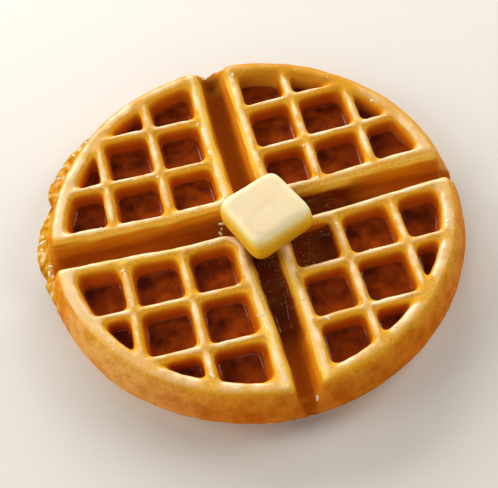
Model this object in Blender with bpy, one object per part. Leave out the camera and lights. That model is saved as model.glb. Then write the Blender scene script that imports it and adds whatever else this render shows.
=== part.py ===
"""A round Belgian waffle in four quarters, with a pat of butter and syrup in its pockets.

Lengths are in metres, +Z is up, and the waffle lies on the plane z = 0. The two
channels that part the quarters run along X and Y. Like every waffle it is what the
two plates of an iron leave between them: each half is a thin web with four lobes on
it, and each lobe is a grid of ribs round open pockets. The halves meet on the
parting line, where a little batter has run out and baked into a ragged skirt.
"""

import math
import random

import bmesh
import bpy

MM = 0.001

# The iron: a seven inch plate whose ribs stand a little under an inch apart, counted
# from the middle of a channel outwards.
OUTER_RADIUS = 90.9 * MM
RIBS = (10.0 * MM, 33.3 * MM, 57.9 * MM)
RIM_CROWN = 82.9 * MM
RIM_INSIDE = 81.8 * MM
THICKNESS = 21.4 * MM
MIDDLE = THICKNESS / 2
PARTING_EDGE = 0.8 * MM
QUARTERS = 4

# The rib's section, as (distance from its centre line, depth under its crown).
# The crown is round, the wall leans by about 11 degrees and the foot has a fillet.
RIB_SECTION = ((0.6, 0.0), (1.5, 0.6), (2.1, 1.7), (3.3, 7.8), (4.4, 8.9))
# The side of a lobe, as (distance out over the channel, distance out over the rim, depth).
# It leans, so that the plates let go of it, which makes a channel a V with a narrow
# floor, and its shoulder at the rim is broad.
LOBE_SECTION = (
    (0.6, 0.6, 0.0),
    (1.7, 2.6, 0.6),
    (2.6, 4.4, 2.2),
    (6.8, 6.8, 8.8),
)
# The underside isn't seen, so its ribs have fewer steps.
PLAIN_RIB_SECTION = ((0.6, 0.0), (2.0, 1.4), (3.9, 8.9))
PLAIN_LOBE_SECTION = ((0.6, 2.6, 0.0), (2.3, 5.2, 1.5), (4.9, 6.8, 8.8))
FOOT_ROUND = 0.2
FLOOR_DEPTH = 9.1 * MM
WEB_DEPTH = 9.0 * MM
WEB_EDGE_RADIUS = 90.2 * MM

POCKET_CORNER = 2.6 * MM
LOBE_INNER_CORNER = 2.4 * MM
LOBE_CROWN_CORNER = 5.0 * MM
LOBE_FOOT_CORNER = 2.4 * MM
# A channel's walls run together towards its end, so its foot leaves the rim narrower still.
EXIT_FLARE = 1.6 * MM
POCKET_CORNER_STEPS = 2
PLAIN_CORNER_STEPS = 1
LOBE_CORNER_STEPS = 3
ARC_STEPS = 13
SHORTEST_SHARE = 0.32

# The top is a little dished, and the ribs wander, as soft batter does when it sets.
# The wave of each wander fades and returns along the rib, more slowly by the share.
DISH_HEIGHT = 4.0 * MM
WANDER = 0.35 * MM
WANDER_LENGTH = 71 * MM
WANDER_FADE_SHARE = 0.6
WANDER_START_X = 0.8
WANDER_START_Y = 2.1

# The skirt of run-out batter, as (degrees round from +X, how far it stands out in mm).
SKIRT = (
    (84, 0.0),
    (88, 1.4),
    (92, 0.0),
    (118, 0.0),
    (136, 6.2),
    (150, 6.6),
    (158, 1.9),
    (165, 4.7),
    (171, 5.0),
    (181, 2.0),
    (191, 0.0),
)
SKIRT_RAGGED = 0.55 * MM
SKIRT_STEPS = 150
SEED = 7

# Syrup stands a couple of millimetres deep in each pocket. The gap to a pool's walls is
# measured level, so it is wider than the gap square to them.
SYRUP_DEPTH = 2.2 * MM
SYRUP_SPREAD = 0.35 * MM
GAP = 0.3 * MM
SYRUP_SIDE_GAP = 0.39 * MM

# The pat is cut from a stick of butter and has gone soft at its edges.
BUTTER_SIZE = (30.8 * MM, 30.0 * MM)
BUTTER_CORNER = 5.6 * MM
BUTTER_CORNER_STEPS = 5
# As (drawn in from the widest outline, height), in mm.
BUTTER_SECTION = (
    (2.6, 0.0),
    (1.0, 0.8),
    (0.1, 2.9),
    (0.0, 6.4),
    (0.5, 10.2),
    (1.3, 12.6),
    (2.6, 13.9),
    (4.4, 14.3),
)
BUTTER_PLACE = (4.9 * MM, -7.1 * MM)
BUTTER_TURN = math.radians(22)

WAFFLE_COLOUR = (0.62, 0.30, 0.07, 1.0)
BUTTER_COLOUR = (0.95, 0.82, 0.50, 1.0)
SYRUP_COLOUR = (0.13, 0.025, 0.005, 1.0)
WAFFLE_ROUGHNESS = 0.7
BUTTER_ROUGHNESS = 0.4
SYRUP_ROUGHNESS = 0.08
CREASE_ANGLE = math.radians(50)


def clear_scene():
    """Removes what the file opened with."""
    for old in list(bpy.data.objects):
        bpy.data.objects.remove(old)


def baked(name, colour, roughness):
    """A plain food material."""
    made = bpy.data.materials.new(name)
    made.use_nodes = True
    shader = made.node_tree.nodes["Principled BSDF"]
    shader.inputs["Base Color"].default_value = colour
    shader.inputs["Roughness"].default_value = roughness
    shader.inputs["Metallic"].default_value = 0.0
    return made


def rounded(corners, steps):
    """Points of an outline whose corners are arcs.

    corners holds (x, y, radius) in order. A radius of 0 keeps the point as it is.
    """
    points = []
    count = len(corners)
    for i, (x, y, radius) in enumerate(corners):
        if radius == 0:
            points.append((x, y))
            continue
        before, after = corners[i - 1], corners[(i + 1) % count]
        back = (before[0] - x, before[1] - y)
        on = (after[0] - x, after[1] - y)
        back_length, on_length = math.hypot(*back), math.hypot(*on)
        back = (back[0] / back_length, back[1] / back_length)
        on = (on[0] / on_length, on[1] / on_length)
        half = math.acos(max(-1.0, min(1.0, back[0] * on[0] + back[1] * on[1]))) / 2
        room = SHORTEST_SHARE * min(back_length, on_length)
        tangent = min(radius / math.tan(half), room)
        start = (x + back[0] * tangent, y + back[1] * tangent)
        end = (x + on[0] * tangent, y + on[1] * tangent)
        for step in range(steps + 1):
            t = step / steps
            a, b, c = (1 - t) ** 2, 2 * t * (1 - t), t * t
            points.append(
                (a * start[0] + b * x + c * end[0], a * start[1] + b * y + c * end[1])
            )
    return points


def on_rim(other, reach):
    """The other coordinate of a point of the circle of radius reach."""
    return math.sqrt(reach * reach - other * other)


def pocket_outline(column, row, offset, steps):
    """One pocket's outline in its quarter, offset inwards from the ribs' centre lines.

    The two outer cells of a row are cut off by the rim, so they have a round side.
    """
    bounds = (*RIBS, math.inf)
    left, right = bounds[column] + offset, bounds[column + 1] - offset
    low, high = bounds[row] + offset, bounds[row + 1] - offset
    reach = RIM_INSIDE - offset
    r = POCKET_CORNER
    if max(column, row) < len(RIBS) - 1:
        corners = [(left, low, r), (right, low, r), (right, high, r), (left, high, r)]
        return rounded(corners, steps)
    corners = [(left, low, r)]
    start = (on_rim(low, reach), low)
    if start[0] > right:
        corners.append((right, low, r))
        start = (right, on_rim(right, reach))
    end = (left, on_rim(left, reach))
    if end[1] > high:
        end = (on_rim(high, reach), high)
    middle = (math.atan2(start[1], start[0]) + math.atan2(end[1], end[0])) / 2
    corners.append((*start, r))
    corners.append((reach * math.cos(middle), reach * math.sin(middle), 0))
    corners.append((*end, r))
    if end[0] > left:
        corners.append((left, high, r))
    return rounded(corners, steps)


def lobe_outline(channel_offset, rim_offset):
    """One quarter's outline, offset outwards from the centre lines of its outer ribs."""
    crown, foot = LOBE_SECTION[0][0] * MM, LOBE_SECTION[-1][0] * MM
    depth_share = (channel_offset - crown) / (foot - crown)
    side = RIBS[0] - channel_offset
    exit_side = side - EXIT_FLARE * depth_share
    reach = RIM_CROWN + rim_offset
    end = on_rim(exit_side, reach)
    inner = LOBE_INNER_CORNER + channel_offset
    outer = LOBE_CROWN_CORNER + (LOBE_FOOT_CORNER - LOBE_CROWN_CORNER) * depth_share
    corners = [(side, side, inner)]
    marks = RIBS[1:]
    corners += [(mark, side, 0) for mark in marks]
    corners.append((end, exit_side, outer))
    first = math.atan2(exit_side, end)
    span = math.pi / 2 - 2 * first
    for i in range(1, ARC_STEPS):
        angle = first + span * i / ARC_STEPS
        corners.append((reach * math.cos(angle), reach * math.sin(angle), 0))
    corners.append((exit_side, end, outer))
    corners += [(side, mark, 0) for mark in reversed(marks)]
    return rounded(corners, LOBE_CORNER_STEPS)


def turned(points, quarter):
    """The points of the first quarter, turned round to another one."""
    for _ in range(quarter):
        points = [(-y, x) for x, y in points]
    return points


def skirt_reach(angle):
    """How far the skirt stands out at this many degrees round from +X."""
    for (a, low), (b, high) in zip(SKIRT, SKIRT[1:]):
        if a <= angle < b:
            share = (1 - math.cos(math.pi * (angle - a) / (b - a))) / 2
            return (low + (high - low) * share) * MM
    return 0.0


def parting_outline():
    """The waffle's outermost edge, ragged where batter ran out."""
    chance = random.Random(SEED)
    points = []
    for i in range(SKIRT_STEPS):
        angle = 360.0 * i / SKIRT_STEPS
        reach = skirt_reach(angle)
        rough = chance.uniform(-1.0, 1.0) * min(SKIRT_RAGGED, reach / 2)
        radius = OUTER_RADIUS + reach + rough
        turn = math.radians(angle)
        points.append((radius * math.cos(turn), radius * math.sin(turn)))
    return points


def circle(radius, count):
    """Points of a circle about the waffle's centre."""
    turns = [2 * math.pi * i / count for i in range(count)]
    return [(radius * math.cos(t), radius * math.sin(t)) for t in turns]


def as_baked(x, y, z):
    """Where a point of the true grid lies in the waffle: the grid wanders and the top is dished."""
    k = 2 * math.pi / WANDER_LENGTH
    slow = WANDER_FADE_SHARE * k
    moved_x = x + WANDER * math.sin(k * y + WANDER_START_X) * math.cos(slow * x)
    moved_y = y + WANDER * math.sin(k * x + WANDER_START_Y) * math.cos(slow * y)
    share = max(0.0, (z - MIDDLE) / MIDDLE)
    lift = DISH_HEIGHT * (x * x + y * y) / (OUTER_RADIUS * OUTER_RADIUS)
    return (moved_x, moved_y, z + share * lift)


def ring(bm, points, height):
    """A closed loop of vertices and edges at one height."""
    verts = [bm.verts.new((x, y, height)) for x, y in points]
    for a, b in zip(verts, verts[1:] + verts[:1]):
        bm.edges.new((a, b))
    return verts


def loop_edges(verts):
    """The edges that join a loop's vertices in order."""
    found = []
    for a, b in zip(verts, verts[1:] + verts[:1]):
        found += [e for e in a.link_edges if b in e.verts]
    return found


def wall(bm, lower, upper):
    """A band of faces between two loops of the same length."""
    count = len(lower)
    for i in range(count):
        j = (i + 1) % count
        bm.faces.new((lower[i], lower[j], upper[j], upper[i]))


def sheet(bm, *loops):
    """A flat face that fills the first loop and leaves the others open."""
    edges = [e for verts in loops for e in loop_edges(verts)]
    bmesh.ops.triangle_fill(bm, use_beauty=True, edges=edges)


def half_waffle(bm, up, rib_section, lobe_section, steps):
    """One plate's half of the waffle. It returns its edge loop on the parting line.

    up is 1 for the top half and -1 for the underside.
    """

    def level(depth):
        return MIDDLE + up * (MIDDLE - depth)

    web_loops = []
    for quarter in range(QUARTERS):
        foot = lobe_section[-1]
        steps_down = (*lobe_section, (foot[0] + FOOT_ROUND, foot[1] + FOOT_ROUND, WEB_DEPTH / MM))
        lobe = [
            ring(bm, turned(lobe_outline(side * MM, rim * MM), quarter), level(depth * MM))
            for side, rim, depth in steps_down
        ]
        for a, b in zip(lobe, lobe[1:]):
            wall(bm, a, b)
        web_loops.append(lobe[-1])
        crown_loops = [lobe[0]]
        for column, row in pocket_cells():
            pocket = [
                ring(
                    bm,
                    turned(pocket_outline(column, row, offset * MM, steps), quarter),
                    level(depth * MM),
                )
                for offset, depth in rib_section
            ]
            for a, b in zip(pocket, pocket[1:]):
                wall(bm, a, b)
            floor(bm, pocket[-1], level(FLOOR_DEPTH))
            crown_loops.append(pocket[0])
        sheet(bm, *crown_loops)
    web_edge = ring(bm, circle(WEB_EDGE_RADIUS, SKIRT_STEPS), level(WEB_DEPTH))
    sheet(bm, web_edge, *web_loops)
    skirt_edge = ring(bm, parting_outline(), MIDDLE + up * PARTING_EDGE)
    wall(bm, web_edge, skirt_edge)
    return skirt_edge


def floor(bm, verts, height):
    """Closes a pocket with a fan of faces round a point in the middle of its floor."""
    x = sum(v.co.x for v in verts) / len(verts)
    y = sum(v.co.y for v in verts) / len(verts)
    centre = bm.verts.new((x, y, height))
    for a, b in zip(verts, verts[1:] + verts[:1]):
        bm.faces.new((a, b, centre))


def pocket_cells():
    """The cells of a quarter that hold a pocket: all but the one outside the rim."""
    return [
        (column, row)
        for column in range(len(RIBS))
        for row in range(len(RIBS))
        if column + row < 2 * len(RIBS) - 2
    ]


def finish_mesh(name, bm, material):
    """Turns a mesh in the making into a named object with smooth shading."""
    bmesh.ops.recalc_face_normals(bm, faces=bm.faces)
    mesh = bpy.data.meshes.new(name)
    bm.to_mesh(mesh)
    bm.free()
    mesh.shade_smooth()
    mesh.set_sharp_from_angle(angle=CREASE_ANGLE)
    mesh.materials.append(material)
    made = bpy.data.objects.new(name, mesh)
    bpy.context.scene.collection.objects.link(made)
    return made


def make_waffle(material):
    """The whole waffle as one solid: two halves that meet on the parting line."""
    bm = bmesh.new()
    top_edge = half_waffle(bm, 1, RIB_SECTION, LOBE_SECTION, POCKET_CORNER_STEPS)
    under_edge = half_waffle(
        bm, -1, PLAIN_RIB_SECTION, PLAIN_LOBE_SECTION, PLAIN_CORNER_STEPS
    )
    wall(bm, top_edge, under_edge)
    for v in bm.verts:
        v.co = as_baked(*v.co)
    return finish_mesh("waffle", bm, material)


def wall_offset(depth):
    """How far a rib's wall stands from the rib's centre line at this depth under its crown."""
    for (a, top), (b, foot) in zip(RIB_SECTION, RIB_SECTION[1:]):
        if top * MM <= depth <= foot * MM:
            share = (depth / MM - top) / (foot - top)
            return (a + (b - a) * share) * MM
    return RIB_SECTION[-1][0] * MM


def make_syrup(name, quarter, column, row, depth, material):
    """One pocket's pool of syrup, up to its level, clear of the walls and the floor."""
    bm = bmesh.new()
    bottom_depth = FLOOR_DEPTH - GAP
    top_depth = FLOOR_DEPTH - depth
    fillet_depth = RIB_SECTION[-2][1] * MM
    loops = []
    for level in (bottom_depth, fillet_depth, top_depth):
        offset = wall_offset(min(level, RIB_SECTION[-1][1] * MM)) + SYRUP_SIDE_GAP
        outline = turned(pocket_outline(column, row, offset, POCKET_CORNER_STEPS), quarter)
        loops.append(ring(bm, outline, THICKNESS - level))
    for a, b in zip(loops, loops[1:]):
        wall(bm, a, b)
    sheet(bm, loops[0])
    sheet(bm, loops[-1])
    for v in bm.verts:
        v.co = as_baked(*v.co)
    level_top = sum(v.co.z for v in loops[-1]) / len(loops[-1])
    for v in loops[-1]:
        v.co.z = level_top
    return finish_mesh(name, bm, material)


def make_all_syrup(material):
    """The pools of all the pockets of the top, each a little deeper or shallower than the next."""
    chance = random.Random(SEED + 1)
    made = []
    for quarter in range(QUARTERS):
        for column, row in pocket_cells():
            depth = SYRUP_DEPTH + chance.uniform(-1.0, 1.0) * SYRUP_SPREAD
            name = f"syrup_q{quarter + 1}_c{column + 1}_r{row + 1}"
            made.append(make_syrup(name, quarter, column, row, depth, material))
    return made


def butter_outline(inset):
    """The pat's outline in plan, drawn in from its widest by this much."""
    x, y = BUTTER_SIZE[0] / 2 - inset, BUTTER_SIZE[1] / 2 - inset
    corner = BUTTER_CORNER - inset / 2
    corners = [(-x, -y, corner), (x, -y, corner), (x, y, corner), (-x, y, corner)]
    return rounded(corners, BUTTER_CORNER_STEPS)


def make_butter(material):
    """The pat: a block gone soft at its edges that has begun to slump over the ribs."""
    bm = bmesh.new()
    loops = [ring(bm, butter_outline(inset * MM), z * MM) for inset, z in BUTTER_SECTION]
    for a, b in zip(loops, loops[1:]):
        wall(bm, a, b)
    floor(bm, loops[0], BUTTER_SECTION[0][1] * MM)
    floor(bm, loops[-1], BUTTER_SECTION[-1][1] * MM)
    made = finish_mesh("butter", bm, material)
    made.location = (*BUTTER_PLACE, butter_rest_height())
    made.rotation_euler = (0, 0, BUTTER_TURN)
    return made


def butter_rest_height():
    """The height of the pat's underside: just clear of the highest rib below it."""
    reach = math.hypot(BUTTER_SIZE[0], BUTTER_SIZE[1]) / 2 + math.hypot(*BUTTER_PLACE)
    return as_baked(reach, 0.0, THICKNESS)[2] + GAP


def middle_of_box(points):
    """The middle of the smallest upright box round some points, in plan."""
    xs = [x for x, y in points]
    ys = [y for x, y in points]
    return ((min(xs) + max(xs)) / 2, (min(ys) + max(ys)) / 2)


def main():
    """Builds the object with the middle of its footprint on the origin."""
    clear_scene()
    waffle_material = baked("baked_batter", WAFFLE_COLOUR, WAFFLE_ROUGHNESS)
    butter_material = baked("soft_butter", BUTTER_COLOUR, BUTTER_ROUGHNESS)
    syrup_material = baked("maple_syrup", SYRUP_COLOUR, SYRUP_ROUGHNESS)
    pieces = [make_waffle(waffle_material)]
    outline = [as_baked(x, y, MIDDLE)[:2] for x, y in parting_outline()]
    pieces.append(make_butter(butter_material))
    pieces += make_all_syrup(syrup_material)
    centre = bpy.data.objects.new("waffle_centre", None)
    bpy.context.scene.collection.objects.link(centre)
    middle = middle_of_box(outline)
    centre.location = (-middle[0], -middle[1], 0.0)
    for piece in pieces:
        piece.parent = centre


main()
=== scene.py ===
# %% [markdown]
# # A waffle with butter and syrup
#
# A waffle is what the two plates of an iron leave between them: four quarters of ribs and
# open pockets, on both faces. The frame holds it as a plain solid, with a pat of butter
# and a pool of syrup in each pocket of the top. This script gives each solid its baked,
# melted or poured skin, and its colours. The crust and the butter are held within their
# frame nodes' boxes.

# %% Load the frame
import math

import bpy
import numpy as np
from mathutils import Matrix, Vector, noise
from mathutils.bvhtree import BVHTree


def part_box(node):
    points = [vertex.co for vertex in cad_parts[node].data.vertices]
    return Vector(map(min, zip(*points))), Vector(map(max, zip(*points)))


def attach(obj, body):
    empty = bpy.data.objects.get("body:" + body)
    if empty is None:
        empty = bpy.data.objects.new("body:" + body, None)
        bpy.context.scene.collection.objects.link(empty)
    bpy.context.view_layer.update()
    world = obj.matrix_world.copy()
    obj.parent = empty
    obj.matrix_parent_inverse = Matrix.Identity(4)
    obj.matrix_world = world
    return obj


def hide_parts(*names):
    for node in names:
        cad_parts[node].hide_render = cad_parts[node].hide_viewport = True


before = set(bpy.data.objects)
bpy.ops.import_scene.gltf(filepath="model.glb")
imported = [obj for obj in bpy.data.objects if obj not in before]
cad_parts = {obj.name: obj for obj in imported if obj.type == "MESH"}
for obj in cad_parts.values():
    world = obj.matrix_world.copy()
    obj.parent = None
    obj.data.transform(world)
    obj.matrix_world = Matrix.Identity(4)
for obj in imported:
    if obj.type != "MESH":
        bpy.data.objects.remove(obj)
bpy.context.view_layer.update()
MM = 0.001
print("frame:", len(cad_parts), "nodes")

# %% [markdown]
# The sizes that the solid was built from are named once here, in metres, because colours
# and relief follow them: how high the ribs' tops are, how much the top is dished, and
# where the middle of the rib grid lies. The batter that ran out on the left makes the
# footprint lopsided, so the grid's middle isn't the footprint's.

# %% Sizes of the waffle
GRID_MIDDLE = Vector((2.02, -0.63, 0.0)) * MM
THICKNESS = 21.4 * MM
PARTING = THICKNESS / 2
DISH_HEIGHT = 4.0 * MM
OUTER_RADIUS = 90.9 * MM
RIM_CROWN = 82.9 * MM
CHANNEL_HALF = 10.0 * MM


def crown_height(radius):
    """How high the ribs' tops are at a distance from the middle."""
    return THICKNESS + DISH_HEIGHT * (radius / OUTER_RADIUS) ** 2


print("the rim's crown is", round(crown_height(RIM_CROWN) / MM, 1), "mm high")

# %% [markdown]
# ## The camera
#
# The waffle is seen from above and a little to the left, close enough that the near ribs
# are larger than the far ones. A lens of any length could frame it, but only one shows
# that difference, so angles, distance and lens were found together, by laying the rib
# grid over the photograph until all its corners met.

# %% Camera
PHOTO_WIDTH = 498
FOCAL_PIXELS = 1011.3
SENSOR_WIDTH = 36.0
AZIMUTH = math.radians(-7.94)
ELEVATION = math.radians(56.20)
ROLL = math.radians(-7.47)
DISTANCE = 432 * MM
AIM_RIGHT = -1.18 * MM
AIM_UP = -12.58 * MM
NEAREST_SEEN = 10 * MM


def camera_axes():
    """The camera's right, up and backward directions."""
    out = math.cos(ELEVATION)
    away = Vector((math.sin(AZIMUTH) * out, -math.cos(AZIMUTH) * out, math.sin(ELEVATION)))
    level_right = Vector((math.cos(AZIMUTH), math.sin(AZIMUTH), 0.0))
    level_up = away.cross(level_right)
    right = math.cos(ROLL) * level_right + math.sin(ROLL) * level_up
    up = math.cos(ROLL) * level_up - math.sin(ROLL) * level_right
    return right, up, away


right, up, away = camera_axes()
aim = GRID_MIDDLE + Vector((0, 0, THICKNESS)) + right * AIM_RIGHT + up * AIM_UP
turn = Matrix((right, up, away)).transposed()
bpy.ops.object.camera_add(location=aim + away * DISTANCE, rotation=turn.to_euler())
camera = bpy.context.object
camera.data.sensor_width = SENSOR_WIDTH
camera.data.lens = FOCAL_PIXELS / PHOTO_WIDTH * SENSOR_WIDTH
camera.data.clip_start = NEAREST_SEEN
bpy.context.scene.camera = camera
print("camera at", [round(c, 3) for c in camera.location], "lens", round(camera.data.lens, 1))

# %% [markdown]
# ## The crust
#
# Each dressed piece starts as a copy of its solid, so that it keeps the solid's sizes.
# Every operator acts on whatever is selected, so a piece starts with nothing selected and
# is then the only one that is. A copy of a frame node has loose triangles, which are
# joined up before anything smooths them.

# %% Helpers: copies and modifiers
JOINING_DISTANCE = 0.005 * MM


def select_only(piece):
    """Makes one object the selected and active one."""
    bpy.ops.object.select_all(action="DESELECT")
    piece.select_set(True)
    bpy.context.view_layer.objects.active = piece


def copy_of(source, name):
    """A copy of an object's mesh as a new object without materials."""
    piece = bpy.data.objects.new(name, source.data.copy())
    bpy.context.scene.collection.objects.link(piece)
    piece.data.materials.clear()
    select_only(piece)
    return piece


def copy_of_node(node, name):
    """A copy of a frame node's mesh, with its triangles joined up."""
    piece = copy_of(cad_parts[node], name)
    bpy.ops.object.mode_set(mode="EDIT")
    bpy.ops.mesh.select_all(action="SELECT")
    bpy.ops.mesh.remove_doubles(threshold=JOINING_DISTANCE)
    bpy.ops.mesh.normals_make_consistent(inside=False)
    bpy.ops.object.mode_set(mode="OBJECT")
    return piece


def apply_modifier(piece, kind, **settings):
    """Adds a modifier with its settings and applies it."""
    select_only(piece)
    bpy.ops.object.modifier_add(type=kind)
    modifier = piece.modifiers[-1]
    for key, value in settings.items():
        setattr(modifier, key, value)
    bpy.ops.object.modifier_apply(modifier=modifier.name)


def hand_over(piece, slot, *nodes):
    """Lets a finished piece ride on the waffle and stand for its frame nodes."""
    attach(piece, "root")
    if nodes:
        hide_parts(*nodes)


# %% [markdown]
# Baked dough can't be drawn with straight edges. Its relief could be sculpted by hand, but
# the same soft irregularity is wanted all over, so it is worked out point by point. numpy
# holds a mesh's points as one array, which is read, changed and put back in one go.

# %% Helpers: points


def points_of(piece):
    """The vertices of a piece as rows of x, y, z."""
    places = np.empty(len(piece.data.vertices) * 3, np.float32)
    piece.data.vertices.foreach_get("co", places)
    return places.reshape(-1, 3).astype(np.float64)


def set_points(piece, places):
    """Moves the vertices of a piece to these places."""
    piece.data.vertices.foreach_set("co", places.astype(np.float32).reshape(-1))
    piece.data.update()


def normals_of(piece):
    """The normal at each vertex of a piece."""
    found = np.empty(len(piece.data.vertices) * 3, np.float32)
    piece.data.vertex_normals.foreach_get("vector", found)
    return found.reshape(-1, 3).astype(np.float64)


def keep_inside(places, node):
    """Places held within the box of a frame node."""
    low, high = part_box(node)
    return np.clip(places, np.array(low), np.array(high))


# %% [markdown]
# Four functions then say how far a point moves, or how strongly it is coloured: a soft
# step between two values, soft noise whose bumps have a size in millimetres, an average
# over the neighbours, and a way to keep a number at each point for a material to read.

# %% Helpers: relief


def smoothstep(low, high, values):
    """0 at low, 1 at high, and a smooth change between. Low may be the larger one."""
    share = np.clip((values - low) / (high - low), 0.0, 1.0)
    return share * share * (3 - 2 * share)


def lumps(places, size, seed=0.0):
    """Soft noise from about -1 to 1 whose bumps have this size, at each place."""
    shift = Vector((seed, 2.3 * seed, -1.7 * seed))
    return np.array([noise.noise(Vector(p) / size + shift) for p in places])


def blurred(piece, values, rounds):
    """Values at the vertices, averaged with their neighbours' this many times."""
    edges = np.empty(len(piece.data.edges) * 2, np.int32)
    piece.data.edges.foreach_get("vertices", edges)
    first, second = edges[0::2], edges[1::2]
    count = len(piece.data.vertices)
    near = np.bincount(first, minlength=count) + np.bincount(second, minlength=count)
    for _ in range(rounds):
        total = np.stack(
            [
                np.bincount(first, values[second, i], count)
                + np.bincount(second, values[first, i], count)
                for i in range(values.shape[1])
            ],
            axis=1,
        )
        values = 0.5 * values + 0.5 * total / near[:, None]
    return values


def store(piece, name, values):
    """Keeps one number at each vertex, for a material to read."""
    made = piece.data.attributes.new(name, "FLOAT", "POINT")
    made.data.foreach_set("value", values.astype(np.float32))


# %% [markdown]
# A waffle's shape is its iron's, softened: batter swells, so ribs are round on top and
# their feet flow into the pockets. The solid has the iron's sizes but few faces, and
# bevelling its hundreds of crossing edges would tear at the corners. A voxel remesh turns
# it into an even skin of small faces instead, and smoothing that skin rounds every edge
# as baking does. The underside has the same skin, thinned out, because nothing there is
# as small as what shows on top.

# %% Crust: an even skin
VOXEL = 1.0 * MM
UNDER_HEIGHT = PARTING - 3 * MM
KEPT_SHARE = 0.66
crust = copy_of_node("waffle", "waffle_crust")
apply_modifier(crust, "REMESH", mode="VOXEL", voxel_size=VOXEL, adaptivity=0.0)
apply_modifier(crust, "SMOOTH", factor=0.5, iterations=4)
under = crust.vertex_groups.new(name="under")
heights = points_of(crust)[:, 2]
under.add([int(i) for i in np.flatnonzero(heights < UNDER_HEIGHT)], 1.0, "REPLACE")
apply_modifier(
    crust, "DECIMATE", ratio=KEPT_SHARE, vertex_group="under", vertex_group_factor=5.0
)
print("crust:", len(crust.data.polygons), "faces")

# %% [markdown]
# The sides of the waffle were pressed by no plate. They bulge smoothly where the solid
# has flat bands, so they are smoothed much more than the ribs. A second smoothing, whose
# change is taken away again, keeps them from shrinking.

# %% Crust: sides
SIDE_RADII = (RIM_CROWN + 2 * MM, RIM_CROWN + 4.5 * MM)
SIDE_HEIGHTS = (1 * MM, 3 * MM)
SIDE_ROUNDS = 40

places = points_of(crust)
flat = places[:, :2] - np.array(GRID_MIDDLE.xy)
radius = np.hypot(*flat.T)
height = places[:, 2]
side_share = smoothstep(*SIDE_RADII, radius)
side_share *= smoothstep(*SIDE_HEIGHTS, height)
smooth_places = blurred(crust, places, SIDE_ROUNDS)
smooth_places = 2 * smooth_places - blurred(crust, smooth_places, SIDE_ROUNDS)
places += (smooth_places - places) * side_share[:, None]
print("side points:", int((side_share > 0.5).sum()))

# %% [markdown]
# Where a channel leaves the rim, its groove goes on a little way down the side as a
# notch, and under the notch the batter bulges. Cutting them would need an edge, and there
# is none: both fade on every side, so the skin is pushed in and out instead.

# %% Crust: notches at the channels' ends
NOTCH_HALF, NOTCH_WIDENING, NOTCH_OPENING = 1.2 * MM, 2.2 * MM, (3 * MM, 14 * MM)
NOTCH_DEPTH, NOTCH_RADII = 1.4 * MM, (82 * MM, 91 * MM)
NOTCH_FOOT, NOTCH_TOP = (7 * MM, 12 * MM), (18 * MM, 13 * MM)
EXIT_BULGE, BULGE_RADII = 1.2 * MM, (86 * MM, 89 * MM)
BULGE_HALF = (2.5 * MM, 6 * MM)
BULGE_FOOT, BULGE_TOP = (2 * MM, 5 * MM), (12 * MM, 8 * MM)

across = np.minimum(np.abs(flat[:, 0]), np.abs(flat[:, 1]))
notch_half = NOTCH_HALF + NOTCH_WIDENING * smoothstep(*NOTCH_OPENING, height)
notch = np.clip(1 - (across / notch_half) ** 2, 0, 1) * smoothstep(*NOTCH_RADII, radius)
notch *= smoothstep(*NOTCH_FOOT, height) * smoothstep(*NOTCH_TOP, height)
bulge = (1 - smoothstep(*BULGE_HALF, across)) * smoothstep(*BULGE_RADII, radius)
bulge *= smoothstep(*BULGE_FOOT, height) * smoothstep(*BULGE_TOP, height)
outward = flat / np.maximum(radius, 1 * MM)[:, None]
places[:, :2] += outward * (EXIT_BULGE * bulge - NOTCH_DEPTH * notch)[:, None]
print("notches reach", round(float(notch.max()) * NOTCH_DEPTH / MM, 1), "mm into the side")

# %% [markdown]
# Batter swells as it bakes and crowds over the channels, so two sides of each stand
# nearly upright. A straight wall in the solid can't do that, so the skin's flank is moved
# towards the middle of the channel: most at the crown, not at all at the floor, and more
# the further out it is.

# %% Crust: flanks that crowd over the channels
OVERHANG_FRONT = (1.4 * MM, 2.5 * MM)
OVERHANG_BACK = (1.2 * MM, 1.2 * MM)
OVERHANG_LEFT = (1.2 * MM, 2.4 * MM)
OVERHANG_RIGHT = (0.8 * MM, 1.2 * MM)
ARM_START, ARM_GROWTH = (10 * MM, 15 * MM), (25 * MM, 60 * MM)
ARM_END = (84 * MM, 90 * MM)
FLANK_OUTER, FLANK_INNER = (-15 * MM, -11 * MM), (-4.5 * MM, -2 * MM)
FLANK_RISE = (4.0 * MM, 9.0 * MM)


def crowding(axis, sign, amounts):
    """How far flanks on the low side of one channel move along the axis across it."""
    run = sign * flat[:, 1 - axis]
    amount = amounts[0] + (amounts[1] - amounts[0]) * smoothstep(*ARM_GROWTH, run)
    here = smoothstep(*ARM_START, run) * (1 - smoothstep(*ARM_END, radius))
    flank = smoothstep(*FLANK_OUTER, flat[:, axis])
    flank *= 1 - smoothstep(*FLANK_INNER, flat[:, axis])
    rise = 1 - smoothstep(*FLANK_RISE, crown_height(radius) - height)
    return amount * here * flank * rise * (height > PARTING)


places[:, 0] += crowding(0, -1, OVERHANG_FRONT) + crowding(0, 1, OVERHANG_BACK)
places[:, 1] += crowding(1, -1, OVERHANG_LEFT) + crowding(1, 1, OVERHANG_RIGHT)
print("flanks crowd by up to", OVERHANG_FRONT[1] / MM, "mm")

# %% [markdown]
# At the far end of the back channel some batter filled the floor, so a low lip shows
# there. The floor's skin is lifted to make it, most at the rim and in the middle.

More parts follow.
